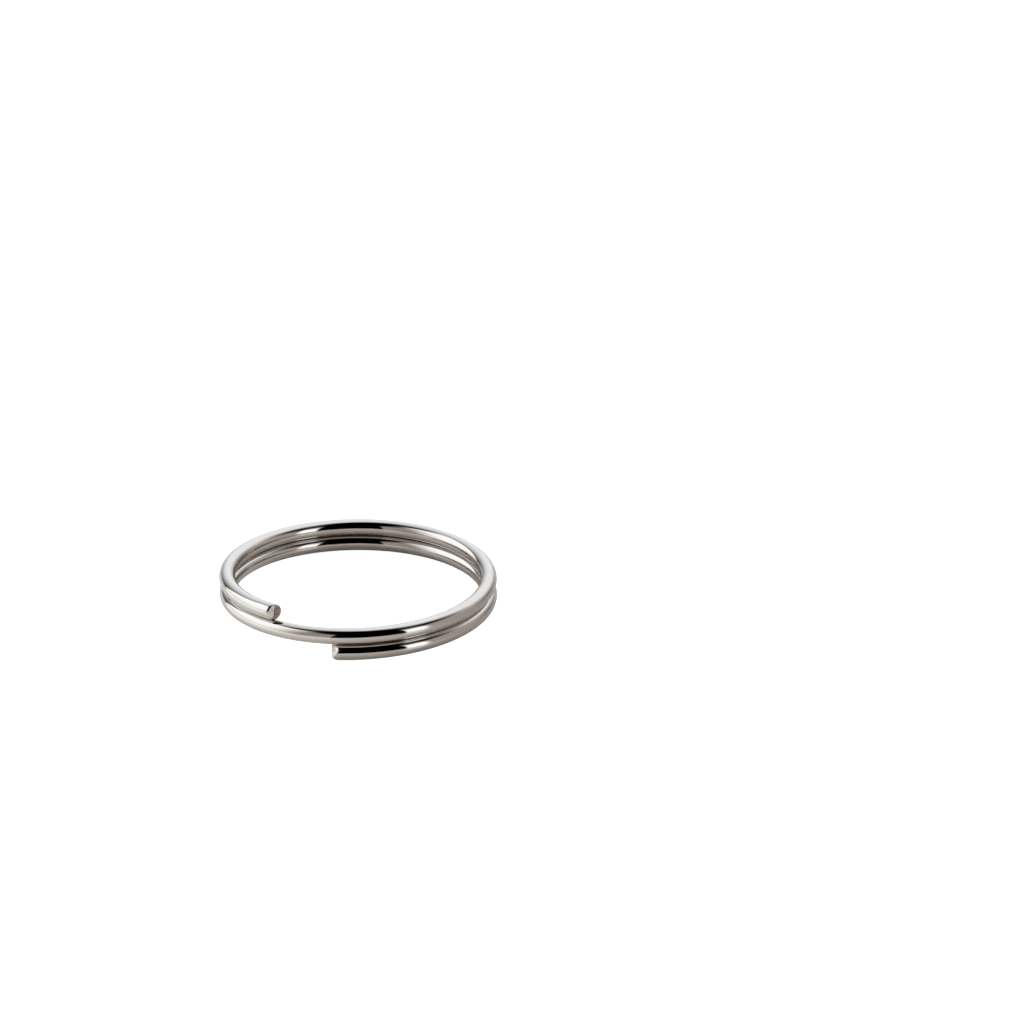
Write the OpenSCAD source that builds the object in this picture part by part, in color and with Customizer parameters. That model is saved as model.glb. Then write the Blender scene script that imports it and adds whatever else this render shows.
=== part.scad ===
// Split ring: one length of round spring wire, wound close into a little under two turns.
// Millimetres, +Z up. The ring lies on z = 0 as it comes to rest on a table. Its axis meets
// the table at the origin, and the short stretch between its two cut ends faces -Y.

/* [Ring] */
// Outside diameter of the ring
ring_od = 28; // [20:0.5:50]
// Diameter of the round wire
wire_d = 1.65; // [1:0.05:2.4]
// Air between the lower and the upper turn
turn_gap = 0.03; // [0.02:0.01:0.3]
// Angle at the front where only one turn passes, from the tip of one end to the tip of the other
open_angle = 25.5; // [15:0.5:60]

/* [Lower cut end] */
// Slant of the cut, which leaves the outer side of the wire shorter than its inner side
lower_slant = 11; // [0:1:25]
// Extra slant of the facet that lies beyond the crease in the cut
lower_facet = 50; // [0:1:60]
// Side that the facet lies on: 0 is outwards, 90 is towards the other turn
lower_facet_side = 38; // [-90:1:90]
// Distance of the crease from the middle of the wire
lower_crease = 0.37; // [0:0.01:0.6]
// Depth to which the shear rolls over the underside of the wire
lower_roll = 0.5; // [0.05:0.05:0.6]

/* [Upper cut end] */
// Slant of the cut, which leaves the outer side of the wire shorter than its inner side
upper_slant = 14; // [0:1:25]
// Extra slant of the facet that lies beyond the crease in the cut
upper_facet = 13; // [0:1:60]
// Side that the facet lies on: 0 is outwards, 90 is towards the other turn
upper_facet_side = -12; // [-90:1:90]
// Distance of the crease from the middle of the wire
upper_crease = 0.15; // [0:0.01:0.6]
// Depth to which the shear rolls over the top of the wire
upper_roll = 0.1; // [0.05:0.05:0.6]

/* [Both cut ends] */
// Radius of the rim round each cut
rim_r = 0.14; // [0.06:0.01:0.2]
// Height of the burr that the shear leaves on the side towards the other turn
burr_h = 0.02; // [0:0.01:0.08]

/* [Hidden] */

WIRE_SIDES = 24;   // flats round the wire, a multiple of 4
SECTION_STEP = 4;  // degrees of turn from one section of the wire to the next
FACE_STEPS = 8;    // rings of points from the middle of a cut to its rim
RIM_STEPS = 3;     // sections round the quarter circle of the rim
ROLL_FROM = 0.3;   // the shear's roll-over starts at this share of the wire's radius
BURR_CLEAR = 0.01; // air that always stays between a burr and the other turn

// Each cut: its slant, its facet's extra slant, side and crease, and its roll-over
LOWER_CUT = [lower_slant, lower_facet, lower_facet_side, lower_crease, lower_roll];
UPPER_CUT = [upper_slant, upper_facet, upper_facet_side, upper_crease, upper_roll];

wire_r = wire_d / 2;
coil_r = ring_od / 2 - wire_r;                // centreline of the wire
pitch = wire_d + turn_gap;                    // climb of the wire in one turn
climb = atan(pitch / (2 * PI * coil_r));      // slope of the wire along its length
wire_turn = 720 - open_angle;                 // degrees of wire from tip to tip
start_turn = -90 + open_angle / 2;            // direction of the lower end's tip
burr_r = wire_r + min(burr_h, turn_gap - BURR_CLEAR);
burr_spread = acos(wire_r / burr_r);          // where the burr's sides leave the round wire

// A close coil rests on its lower end and on the turn opposite, so it leans by two slopes:
// up towards its lower end, and up towards the side where the wire starts to climb.
lean_to_end = atan(pitch / (4 * coil_r));
lean_to_side = atan(pitch / (2 * PI * coil_r));
rest_height = wire_r - pitch / 4;

// The length of wire that the longer cut end takes up, and the reach of a burr
function end_length(cut) =
    wire_d * tan(cut[0]) + max(0, wire_r - cut[3]) * tan(cut[1]) + cut[4] + rim_r;
burr_length = max(end_length(LOWER_CUT), end_length(UPPER_CUT)) + wire_r;

// Degrees of turn that a length of wire covers
function turn_of(length) = length * 180 / (PI * coil_r);

// A point of the wire: its turn from the lower tip, then polar round the wire's own centreline
function wire_point(turn, radius, side) = let (
        outward = radius * cos(side),
        upward = radius * sin(side),
        r = coil_r + outward
    ) [
        r * cos(turn) + upward * sin(climb) * sin(turn),
        r * sin(turn) - upward * sin(climb) * cos(turn),
        pitch * turn / 360 + upward * cos(climb)
    ];

// How far the cut lies behind its tip, at a place outward and free_ward of the centreline.
// The free side is the one that has no turn beside it.
function cut_back(cut, outward, free_ward) =
    (wire_r + outward) * tan(cut[0])
    + max(0, outward * cos(cut[2]) - free_ward * sin(cut[2]) - cut[3]) * tan(cut[1])
    + cut[4] * pow(max(0, free_ward / wire_r - ROLL_FROM) / (1 - ROLL_FROM), 2);

// Swelling of the wire by its burr: two flat sides that meet in a ridge, fading along the wire
function burr_swell(from_ridge, length) = abs(from_ridge) >= burr_spread ? 1 :
    1 + (1 / cos(burr_spread - abs(from_ridge)) - 1) * max(0, 1 - length / burr_length);

// A ring of points on a cut end. free is 1 where the free side is up, and -1 where it is down.
function end_ring(cut, tip_turn, inward, free, radius, back) = [
    for (i = [0 : WIRE_SIDES - 1]) let (
        side = i * 360 / WIRE_SIDES,
        length = back + cut_back(cut, radius * cos(side), radius * sin(side) * free),
        from_ridge = (side + free * 90 + 540) % 360 - 180,
        swell = burr_swell(from_ridge, length)
    ) wire_point(tip_turn + inward * turn_of(length), radius * swell, side)
];

// The rings of a cut end, from the middle of its face out to the full wire
function cut_end(cut, tip_turn, inward, free) = [
    for (k = [1 : FACE_STEPS])
        end_ring(cut, tip_turn, inward, free, (wire_r - rim_r) * k / FACE_STEPS, 0),
    for (k = [1 : RIM_STEPS]) let (
        a = 90 * k / RIM_STEPS,
        radius = wire_r - rim_r * (1 - sin(a))
    ) end_ring(cut, tip_turn, inward, free, radius, rim_r * (1 - cos(a)))
];

function cut_middle(cut, tip_turn, inward) =
    wire_point(tip_turn + inward * turn_of(cut_back(cut, 0, 0)), 0, 0);

// Sections of the full wire between its two ends, evenly spaced
first_turn = turn_of(burr_length);
body_turn = wire_turn - 2 * first_turn;
body_steps = ceil(body_turn / SECTION_STEP);
body_rings = [
    for (k = [0 : body_steps]) let (turn = first_turn + body_turn * k / body_steps)
        [for (i = [0 : WIRE_SIDES - 1]) wire_point(turn, wire_r, i * 360 / WIRE_SIDES)]
];

function reversed(list) = [for (i = [len(list) - 1 : -1 : 0]) list[i]];

wire_rings = concat(
    cut_end(LOWER_CUT, 0, 1, -1),
    body_rings,
    reversed(cut_end(UPPER_CUT, wire_turn, -1, 1))
);

// Triangles between one ring of points and the next, all the way along
function wall_faces(rings) = [
    for (s = [0 : rings - 2], i = [0 : WIRE_SIDES - 1]) let (
        a = s * WIRE_SIDES + i,
        b = s * WIRE_SIDES + (i + 1) % WIRE_SIDES,
        c = b + WIRE_SIDES,
        d = a + WIRE_SIDES
    ) each [[a, b, c], [a, c, d]]
];

// Triangles from the middle of a cut out to its innermost ring
function middle_faces(middle, first) =
    [for (i = [0 : WIRE_SIDES - 1]) [middle, first + (i + 1) % WIRE_SIDES, first + i]];

module split_ring() {
    points = concat(
        [for (ring = wire_rings) each ring],
        [cut_middle(LOWER_CUT, 0, 1), cut_middle(UPPER_CUT, wire_turn, -1)]
    );
    lower_middle = len(points) - 2;
    upper_middle = len(points) - 1;
    last_ring = lower_middle - WIRE_SIDES;
    faces = concat(
        wall_faces(len(wire_rings)),
        middle_faces(lower_middle, 0),
        [for (face = middle_faces(upper_middle, last_ring)) reversed(face)]
    );
    color("#cfcac0")
        translate([0, 0, rest_height])
            rotate([0, 0, start_turn])
                rotate([lean_to_side, -lean_to_end, 0])
                    polyhedron(points = points, faces = faces, convexity = 6);
}

split_ring();
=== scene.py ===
"""Split ring: bright nickel-plated spring wire, wound close into a little under two turns.

Everything is in metres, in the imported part's frame: +Z up, the table at z = 0, the ring's axis
over the origin, and the short stretch between the two cut ends facing -Y.
"""
import math

import bpy
from mathutils import Matrix, Vector


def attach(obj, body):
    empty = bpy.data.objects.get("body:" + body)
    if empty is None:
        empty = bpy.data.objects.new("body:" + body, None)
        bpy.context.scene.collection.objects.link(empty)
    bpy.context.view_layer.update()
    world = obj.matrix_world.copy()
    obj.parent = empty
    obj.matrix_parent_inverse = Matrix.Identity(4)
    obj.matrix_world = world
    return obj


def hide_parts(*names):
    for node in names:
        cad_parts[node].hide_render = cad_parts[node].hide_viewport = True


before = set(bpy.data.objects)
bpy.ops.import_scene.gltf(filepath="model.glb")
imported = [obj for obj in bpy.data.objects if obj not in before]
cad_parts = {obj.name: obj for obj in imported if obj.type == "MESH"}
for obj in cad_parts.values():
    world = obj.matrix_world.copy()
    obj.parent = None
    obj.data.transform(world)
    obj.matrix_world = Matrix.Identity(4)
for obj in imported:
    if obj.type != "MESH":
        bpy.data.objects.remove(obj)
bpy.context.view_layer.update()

MM = 0.001

# ---------------------------------------------------------------- sizes of the ring
RING_OD = 28.0 * MM
WIRE_D = 1.65 * MM
TURN_GAP = 0.03 * MM     # air between the lower and the upper turn
OPEN_ANGLE = 25.5        # degrees from the tip of one end to the tip of the other

# The shape that the shears leave on each cut end: the slant that shortens the outer side of the
# wire, the extra slant of a facet, the side that the facet lies on (0 is outwards, 90 towards
# the other turn), how far its crease is from the wire's middle, and how deep the free side is
# rolled over.
LOWER_CUT = {"slant": 11.0, "facet": 50.0, "facet_side": 38.0, "crease": 0.37 * MM,
             "roll": 0.50 * MM}
UPPER_CUT = {"slant": 14.0, "facet": 13.0, "facet_side": -12.0, "crease": 0.15 * MM,
             "roll": 0.10 * MM}
ROLL_FROM = 0.3          # share of the wire's radius where the roll-over starts
RIM_R = 0.14 * MM        # radius round the cut
BURR_H = 0.02 * MM       # height of the burr towards the other turn

WIRE_SIDES = 72          # points round the wire
TURN_STEP = 0.8          # degrees of turn between the wire's sections
FACE_STEPS = 16          # rings of points from the middle of a cut to its rim
RIM_STEPS = 8            # rings of points round the rim

wire_r = WIRE_D / 2
coil_r = RING_OD / 2 - wire_r
pitch = WIRE_D + TURN_GAP
climb = math.atan(pitch / (2 * math.pi * coil_r))
wire_turn = 720 - OPEN_ANGLE
burr_r = wire_r + BURR_H
burr_spread = math.degrees(math.acos(wire_r / burr_r))
end_length = max(
    WIRE_D * math.tan(math.radians(cut["slant"]))
    + max(0.0, wire_r - cut["crease"]) * math.tan(math.radians(cut["facet"]))
    + cut["roll"] + RIM_R
    for cut in (LOWER_CUT, UPPER_CUT)
)
burr_length = end_length + wire_r

# The ring rests on its lower end and on the turn opposite, so it leans by two slopes.
lean_to_end = math.atan(pitch / (4 * coil_r))
lean_to_side = math.atan(pitch / (2 * math.pi * coil_r))
as_it_rests = (
    Matrix.Translation((0, 0, wire_r - pitch / 4))
    @ Matrix.Rotation(math.radians(-90 + OPEN_ANGLE / 2), 4, "Z")
    @ Matrix.Rotation(-lean_to_end, 4, "Y")
    @ Matrix.Rotation(lean_to_side, 4, "X")
)


# ---------------------------------------------------------------- wire
def turn_of(length):
    """Degrees of turn that a length of wire covers."""
    return math.degrees(length / coil_r)


def wire_point(turn, radius, side):
    """A point of the wire: its turn from the lower tip, then polar round its centreline."""
    t = math.radians(turn)
    outward = radius * math.cos(math.radians(side))
    upward = radius * math.sin(math.radians(side))
    r = coil_r + outward
    return as_it_rests @ Vector((
        r * math.cos(t) + upward * math.sin(climb) * math.sin(t),
        r * math.sin(t) - upward * math.sin(climb) * math.cos(t),
        pitch * turn / 360 + upward * math.cos(climb),
    ))


def cut_back(cut, outward, free_ward):
    """How far a cut lies behind its tip; free_ward points away from the other turn."""
    side = math.radians(cut["facet_side"])
    beyond_crease = outward * math.cos(side) - free_ward * math.sin(side) - cut["crease"]
    roll = max(0.0, free_ward / wire_r - ROLL_FROM) / (1 - ROLL_FROM)
    return (
        (wire_r + outward) * math.tan(math.radians(cut["slant"]))
        + max(0.0, beyond_crease) * math.tan(math.radians(cut["facet"]))
        + cut["roll"] * roll ** 2
    )


def burr_swell(from_ridge, length):
    """Swelling of the wire by its burr: two flat sides that meet in a ridge."""
    if abs(from_ridge) >= burr_spread:
        return 1.0
    ridge = 1 / math.cos(math.radians(burr_spread - abs(from_ridge)))
    return 1 + (ridge - 1) * max(0.0, 1 - length / burr_length)


def end_ring(cut, tip_turn, inward, free, radius, back):
    """A ring of points on a cut end; free is 1 where its free side is up, -1 where down."""
    ring = []
    for i in range(WIRE_SIDES):
        side = i * 360 / WIRE_SIDES
        outward = radius * math.cos(math.radians(side))
        upward = radius * math.sin(math.radians(side))
        length = back + cut_back(cut, outward, upward * free)
        from_ridge = (side + free * 90 + 540) % 360 - 180
        swelled = radius * burr_swell(from_ridge, length)
        ring.append((tip_turn + inward * turn_of(length), swelled, side))
    return ring


def cut_end(cut, tip_turn, inward, free):
    """The rings of a cut end, from the middle of its face out to the full wire."""
    rings = []
    for k in range(1, FACE_STEPS + 1):
        radius = (wire_r - RIM_R) * k / FACE_STEPS
        rings.append(end_ring(cut, tip_turn, inward, free, radius, 0.0))
    for k in range(1, RIM_STEPS + 1):
        a = math.radians(90 * k / RIM_STEPS)
        radius = wire_r - RIM_R * (1 - math.sin(a))
        back = RIM_R * (1 - math.cos(a))
        rings.append(end_ring(cut, tip_turn, inward, free, radius, back))
    return rings


def make_wire():
    """The whole ring as one swept mesh, with both cut ends."""
    first_turn = turn_of(burr_length)
    body_turn = wire_turn - 2 * first_turn
    steps = math.ceil(body_turn / TURN_STEP)
    body = [
        [(first_turn + body_turn * k / steps, wire_r, i * 360 / WIRE_SIDES)
         for i in range(WIRE_SIDES)]
        for k in range(steps + 1)
    ]
    rings = (
        cut_end(LOWER_CUT, 0, 1, -1) + body + cut_end(UPPER_CUT, wire_turn, -1, 1)[::-1]
    )
    middles = [
        (turn_of(cut_back(LOWER_CUT, 0, 0)), 0.0, 0.0),
        (wire_turn - turn_of(cut_back(UPPER_CUT, 0, 0)), 0.0, 0.0),
    ]
    places = [place for ring in rings for place in ring] + middles
    lower_middle = len(places) - 2
    upper_middle = len(places) - 1
    last_ring = lower_middle - WIRE_SIDES

    faces = []
    is_cut = []
    for s in range(len(rings) - 1):
        for i in range(WIRE_SIDES):
            a = s * WIRE_SIDES + i
            b = s * WIRE_SIDES + (i + 1) % WIRE_SIDES
            faces.append((a, a + WIRE_SIDES, b + WIRE_SIDES, b))
            is_cut.append(s < FACE_STEPS or s >= len(rings) - 1 - FACE_STEPS)
    for i in range(WIRE_SIDES):
        j = (i + 1) % WIRE_SIDES
        faces.append((lower_middle, i, j))
        faces.append((upper_middle, last_ring + j, last_ring + i))
        is_cut += [True, True]

    mesh = bpy.data.meshes.new("ring_wire")
    mesh.from_pydata([wire_point(*place) for place in places], [], faces)
    mesh.shade_smooth()
    mesh.materials.append(bright_nickel_plate())
    mesh.materials.append(nickel_on_sheared_steel())
    mesh.polygons.foreach_set("material_index", [int(cut) for cut in is_cut])
    # Where each point would lie on the straight wire: along it, then across it. Patterns that
    # follow the wire, such as its drawing lines, are laid out in this space.
    straight = mesh.attributes.new("straight_wire", "FLOAT_VECTOR", "POINT")
    for i, (turn, radius, side) in enumerate(places):
        straight.data[i].vector = (
            math.radians(turn) * coil_r,
            radius * math.cos(math.radians(side)),
            radius * math.sin(math.radians(side)),
        )
    return bpy.data.objects.new("ring_wire", mesh)


# ---------------------------------------------------------------- materials
COLOUR_A, COLOUR_B = 6, 7    # the two colour inputs of a Mix node
MIXED_COLOUR = 2             # and its colour output
FAINT_MARK = 0.3             # share of the marks' height at which the metal is smoothest
STRONG_MARK = 0.7            # and at which it is roughest


def linear(hex_colour):
    """An sRGB hex colour as linear red, green, blue and alpha."""
    channels = [int(hex_colour[i:i + 2], 16) / 255 for i in (1, 3, 5)]
    return tuple(
        c / 12.92 if c <= 0.04045 else ((c + 0.055) / 1.055) ** 2.4 for c in channels
    ) + (1.0,)


def add_node(tree, kind, inputs=None, **settings):
    """Add a node with its settings; an input given as a socket is linked."""
    node = tree.nodes.new(kind)
    for name, value in settings.items():
        setattr(node, name, value)
    for name, value in (inputs or {}).items():
        if isinstance(value, bpy.types.NodeSocket):
            tree.links.new(value, node.inputs[name])
        else:
            node.inputs[name].default_value = value
    return node


def new_material(name):
    material = bpy.data.materials.new(name)
    material.use_nodes = True
    material.node_tree.nodes.clear()
    return material


def marks_on_wire(tree, long_mm, across_mm, detail, turned=0.0):
    """Uneven marks from 0 to 1, with a length along the wire and two widths across it.

    The two widths are square to each other, and turned by so many degrees about the wire.
    """
    place = add_node(tree, "ShaderNodeAttribute", attribute_name="straight_wire")
    turned_place = add_node(tree, "ShaderNodeVectorRotate", {
        "Vector": place.outputs["Vector"], "Angle": math.radians(turned),
    }, rotation_type="X_AXIS")
    laid_out = add_node(tree, "ShaderNodeVectorMath", {
        0: turned_place.outputs["Vector"],
        1: [1 / (size_mm * MM) for size_mm in (long_mm, *across_mm)],
    }, operation="MULTIPLY")
    return add_node(tree, "ShaderNodeTexNoise", {
        "Vector": laid_out.outputs["Vector"], "Scale": 1.0, "Detail": detail,
    }).outputs["Fac"]


def metal_surface(tree, marks, bright, dull, smooth, rough, height):
    """Plated metal between two tints and two roughnesses, with its marks standing up."""
    tint = add_node(tree, "ShaderNodeMix", {
        "Factor": marks, COLOUR_A: linear(bright), COLOUR_B: linear(dull),
    }, data_type="RGBA")
    roughness = add_node(tree, "ShaderNodeMapRange", {
        "Value": marks, "From Min": FAINT_MARK, "From Max": STRONG_MARK,
        "To Min": smooth, "To Max": rough,
    })
    relief = add_node(tree, "ShaderNodeBump", {"Height": marks, "Distance": height})
    surface = add_node(tree, "ShaderNodeBsdfPrincipled", {
        "Base Color": tint.outputs[MIXED_COLOUR],
        "Metallic": 1.0,
        "Roughness": roughness.outputs["Result"],
        "Normal": relief.outputs["Normal"],
    })
    add_node(tree, "ShaderNodeOutputMaterial", {"Surface": surface.outputs["BSDF"]})


def bright_nickel_plate():
    """Bright nickel plate on drawn spring wire.

    Bright nickel is a warm, slightly dull mirror. The die draws fine lines along the wire, which
    the plate smooths but doesn't hide, so highlights look faintly combed along it. The real
    lines are under 0.02 mm wide; here they are 0.11 mm, as fine as a render can show.
    """
    material = new_material("bright_nickel_plate_on_drawn_wire")
    tree = material.node_tree
    drawn = marks_on_wire(tree, long_mm=9.0, across_mm=(0.11, 0.11), detail=2.0)
    metal_surface(tree, drawn, "#D8D4CD", "#CFCAC3", 0.02, 0.07, 0.0008 * MM)
    return material


def nickel_on_sheared_steel():
    """Thin nickel over a sheared end.

    The blades tear the steel into fine ridges that run across the cut. The thin plate over them
    is uneven: nearly as bright as the wire in places, brown and dull in others. The real ridges
    are about 0.03 mm wide; here they are 0.13 mm, to show at this distance.
    """
    material = new_material("thin_nickel_plate_on_sheared_steel")
    tree = material.node_tree
    ridges = marks_on_wire(tree, long_mm=2.0, across_mm=(0.13, 0.55), detail=3.0, turned=35.0)
    metal_surface(tree, ridges, "#E6DDD3", "#83746A", 0.10, 0.34, 0.016 * MM)
    return material


# ---------------------------------------------------------------- camera
VIEW_TURN = 23.87            # degrees that the camera stands round to the right of -Y
VIEW_HEIGHT = 24.33          # degrees that it looks down
VIEW_DISTANCE = 749.2 * MM   # from the point on the table at the middle of the picture
AIM_RIGHT = 15.49 * MM       # that point lies to the right of the ring
AIM_BEHIND = 22.51 * MM      # and behind it
SENSOR = 36.0                # millimetres
FOCAL = 253.8                # millimetres
NEAREST_SEEN = 10 * MM


def make_camera():
    turn = math.radians(VIEW_TURN)
    height = math.radians(VIEW_HEIGHT)
    right = Vector((math.cos(turn), math.sin(turn), 0))
    behind = Vector((-math.sin(turn), math.cos(turn), 0))
    aim = right * AIM_RIGHT + behind * AIM_BEHIND
    back = -behind * math.cos(height) + Vector((0, 0, math.sin(height)))
    camera = bpy.data.objects.new("camera", bpy.data.cameras.new("camera"))
    camera.data.sensor_width = SENSOR
    camera.data.lens = FOCAL
    camera.data.clip_start = NEAREST_SEEN
    camera.location = aim + back * VIEW_DISTANCE
    camera.rotation_euler = back.to_track_quat("Z", "Y").to_euler()
    bpy.context.collection.objects.link(camera)
    bpy.context.scene.camera = camera


# ---------------------------------------------------------------- stage
FLOOR_REACH = 3.0        # metres from the ring to the table's edge
WHITE_LIFT = 0.97        # lifts the pale table to white for the camera; its shadow stays faint
PAINTED_LIGHT_IN_METAL = 0.50     # painted light: a glow on the table that only the metal sees, strongest on its left side
PAINTED_LIGHT_FULL_AT = -20 * MM     # from here, beyond the ring's left side,
PAINTED_LIGHT_OUT_AT = 15 * MM         # to here, on its right, the painted light fades out and the table keeps its own shade
PAINTED_LIGHT_TURN = 30.0         # degrees that the painted light's fade is turned from the right towards the back
PAINTED_SHADE_REACH = 5.0 * MM   # painted shade: the painted light is dimmer this close to the wire, as a contact shadow

COOL_WHITE = "#F2F6FE"   # softbox cloth
WARM_WHITE = "#FFF6F3"   # the room's walls
TABLE_WHITE_AND_PAINTED_LIGHT = "#F5FDFF"   # tint of the white lift and of the painted light; cool enough to bring the warm board back to neutral


def white_laminate():
    """Semi-gloss laminate board, a warm off-white that is lifted to plain white for the camera.

    The sheen of its melamine face shows the lights again, low down in the metal. In the metal
    the board also glows with painted light, brightest on its left, and has painted shade near
    the wire.
    """
    material = new_material("semi_gloss_white_laminate")
    tree = material.node_tree
    path = add_node(tree, "ShaderNodeLightPath")
    place = add_node(tree, "ShaderNodeTexCoord")
    turn = math.radians(VIEW_TURN + PAINTED_LIGHT_TURN)
    across = add_node(tree, "ShaderNodeVectorMath", {
        0: place.outputs["Object"], 1: (math.cos(turn), math.sin(turn), 0),
    }, operation="DOT_PRODUCT")
    # Painted light: a glow on the table that only the metal sees, full on its left side and
    # fading out to the right.
    uneven = add_node(tree, "ShaderNodeMapRange", {
        "Value": across.outputs["Value"],
        "From Min": PAINTED_LIGHT_FULL_AT, "From Max": PAINTED_LIGHT_OUT_AT, "To Min": PAINTED_LIGHT_IN_METAL, "To Max": 0.0,
    })
    seen = add_node(tree, "ShaderNodeMath", {
        0: path.outputs["Is Glossy Ray"], 1: path.outputs["Is Transmission Ray"],
    }, operation="ADD")
    # Painted shade: the painted glow is dimmed where the wire closes the table in, as a contact
    # shadow.
    openness_for_painted_shade = add_node(tree, "ShaderNodeAmbientOcclusion", {"Distance": PAINTED_SHADE_REACH}, samples=6)
    painted_light_and_shade = add_node(tree, "ShaderNodeMath", {
        0: openness_for_painted_shade.outputs["AO"], 1: uneven.outputs["Result"],
    }, operation="MULTIPLY")
    painted_light_and_shade_in_metal = add_node(tree, "ShaderNodeMath", {
        0: seen.outputs["Value"], 1: painted_light_and_shade.outputs["Value"],
    }, operation="MULTIPLY")
    # Plain white for camera rays, plus the painted light and shade for rays from the metal.
    white_and_painted_light = add_node(tree, "ShaderNodeMath", {
        0: path.outputs["Is Camera Ray"], 1: WHITE_LIFT, 2: painted_light_and_shade_in_metal.outputs["Value"],
    }, operation="MULTIPLY_ADD")
    board = add_node(tree, "ShaderNodeBsdfPrincipled", {
        "Base Color": linear("#E4D2C7"),
        "Roughness": 0.16,
        "IOR": 1.6,
        "Emission Color": linear(TABLE_WHITE_AND_PAINTED_LIGHT),
        "Emission Strength": white_and_painted_light.outputs["Value"],
    })
    add_node(tree, "ShaderNodeOutputMaterial", {"Surface": board.outputs["BSDF"]})
    return material


def make_floor():
    mesh = bpy.data.meshes.new("table_top")
    corners = [(x * FLOOR_REACH, y * FLOOR_REACH, 0)
               for x, y in ((-1, -1), (1, -1), (1, 1), (-1, 1))]
    mesh.from_pydata(corners, [], [(0, 1, 2, 3)])
    mesh.materials.append(white_laminate())
    floor = bpy.data.objects.new("table_top", mesh)
    bpy.context.collection.objects.link(floor)


# The studio as the ring sees it: soft lights and pale walls, each a patch of the sky. Each edge
# of a patch gives the angle where it is dark and the angle where it reaches its full glow. The
# left and right edges are in degrees from straight behind, positive to the right; the low and
# high edges are in degrees above the table. A third number leans an edge over, by so many
# degrees for each degree of the other direction. A glow of 1 is white. The side of the room
# behind the camera and most of the ceiling stay dark.
STUDIO = {
    "left_softbox": {"left": (-133, -92), "right": (-43, -47, -0.22), "low": (-24, 18),
                     "high": (50, 37, -0.12), "glow": 1.64, "tint": COOL_WHITE},
    "back_softbox_left_half": {"left": (-92, 6), "right": (8, -8), "low": (-42, 14, -0.8),
                               "high": (103, 66), "glow": 1.28, "tint": COOL_WHITE},
    "back_softbox_right_half": {"left": (-8, 8), "right": (86, 26, 0.3), "low": (-34, 12, 0.55),
                                "high": (103, 66), "glow": 1.32, "tint": COOL_WHITE},
    "dim_ceiling": {"left": (60, 90), "right": (128, 105), "low": (52, 68),
                    "high": (100, 70), "glow": 0.22, "tint": WARM_WHITE},
    "wall_in_front_left": {"left": (-159.5, -157), "right": (-92, -124), "low": (-20, -18),
                           "high": (118, 98, 0.44), "glow": 0.39, "tint": WARM_WHITE},
    "right_wall": {"left": (34, 75), "right": (130, 122), "low": (-40, -10),
                   "high": (48, 26), "glow": 0.46, "tint": WARM_WHITE},
    "right_strip": {"left": (117, 128), "right": (142, 139), "low": (-36, 18),
                    "high": (53, 19), "glow": 1.88, "tint": COOL_WHITE},
}


def studio_light():
    """The studio as a world: patches of soft light, with plain white for the camera."""
    world = bpy.data.worlds.new("studio")
    world.use_nodes = True
    tree = world.node_tree
    tree.nodes.clear()

    place = add_node(tree, "ShaderNodeTexCoord")
    turned = add_node(tree, "ShaderNodeVectorRotate", {
        "Vector": place.outputs["Generated"], "Angle": -math.radians(VIEW_TURN),
    }, rotation_type="Z_AXIS")
    axes = add_node(tree, "ShaderNodeSeparateXYZ", {"Vector": turned.outputs["Vector"]})
    across = add_node(tree, "ShaderNodeMath", {
        0: axes.outputs["X"], 1: axes.outputs["Y"],
    }, operation="ARCTAN2").outputs["Value"]
    up = add_node(tree, "ShaderNodeMath", {
        0: axes.outputs["Z"],
    }, operation="ARCSINE").outputs["Value"]

    def edge(angle, other, dark, full, lean=0.0):
        """From 0 at the dark angle to 1 at the full one, whichever way that runs."""
        if lean:
            angle = add_node(tree, "ShaderNodeMath", {
                0: other, 1: -lean, 2: angle,
            }, operation="MULTIPLY_ADD").outputs["Value"]
        ends = {"From Min": dark, "From Max": full, "To Min": 0.0, "To Max": 1.0}
        if dark > full:
            ends = {"From Min": full, "From Max": dark, "To Min": 1.0, "To Max": 0.0}
        ends["From Min"] = math.radians(ends["From Min"])
        ends["From Max"] = math.radians(ends["From Max"])
        return add_node(tree, "ShaderNodeMapRange", {"Value": angle, **ends},
                        interpolation_type="SMOOTHSTEP").outputs["Result"]

    light = None
    for patch in STUDIO.values():
        glow = patch["glow"]
        for side in ("left", "right", "low", "high"):
            angle, other = (across, up) if side in ("left", "right") else (up, across)
            glow = add_node(tree, "ShaderNodeMath", {
                0: edge(angle, other, *patch[side]), 1: glow,
            }, operation="MULTIPLY").outputs["Value"]
        tinted = add_node(tree, "ShaderNodeVectorMath", {
            0: linear(patch["tint"])[:3], "Scale": glow,
        }, operation="SCALE").outputs["Vector"]
        if light is None:
            light = tinted
        else:
            light = add_node(tree, "ShaderNodeVectorMath", {
                0: light, 1: tinted,
            }, operation="ADD").outputs["Vector"]

    path = add_node(tree, "ShaderNodeLightPath")
    seen = add_node(tree, "ShaderNodeMix", {
        "Factor": path.outputs["Is Camera Ray"], COLOUR_A: light, COLOUR_B: linear("#FFFFFF"),
    }, data_type="RGBA")
    background = add_node(tree, "ShaderNodeBackground", {"Color": seen.outputs[MIXED_COLOUR]})
    add_node(tree, "ShaderNodeOutputWorld", {"Surface": background.outputs["Background"]})
    bpy.context.scene.world = world


# ---------------------------------------------------------------- put together
ring = make_wire()
bpy.context.collection.objects.link(ring)
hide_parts("split_ring")
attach(ring, "root")

make_floor()
studio_light()
make_camera()

bpy.context.scene.view_settings.view_transform = "Standard"
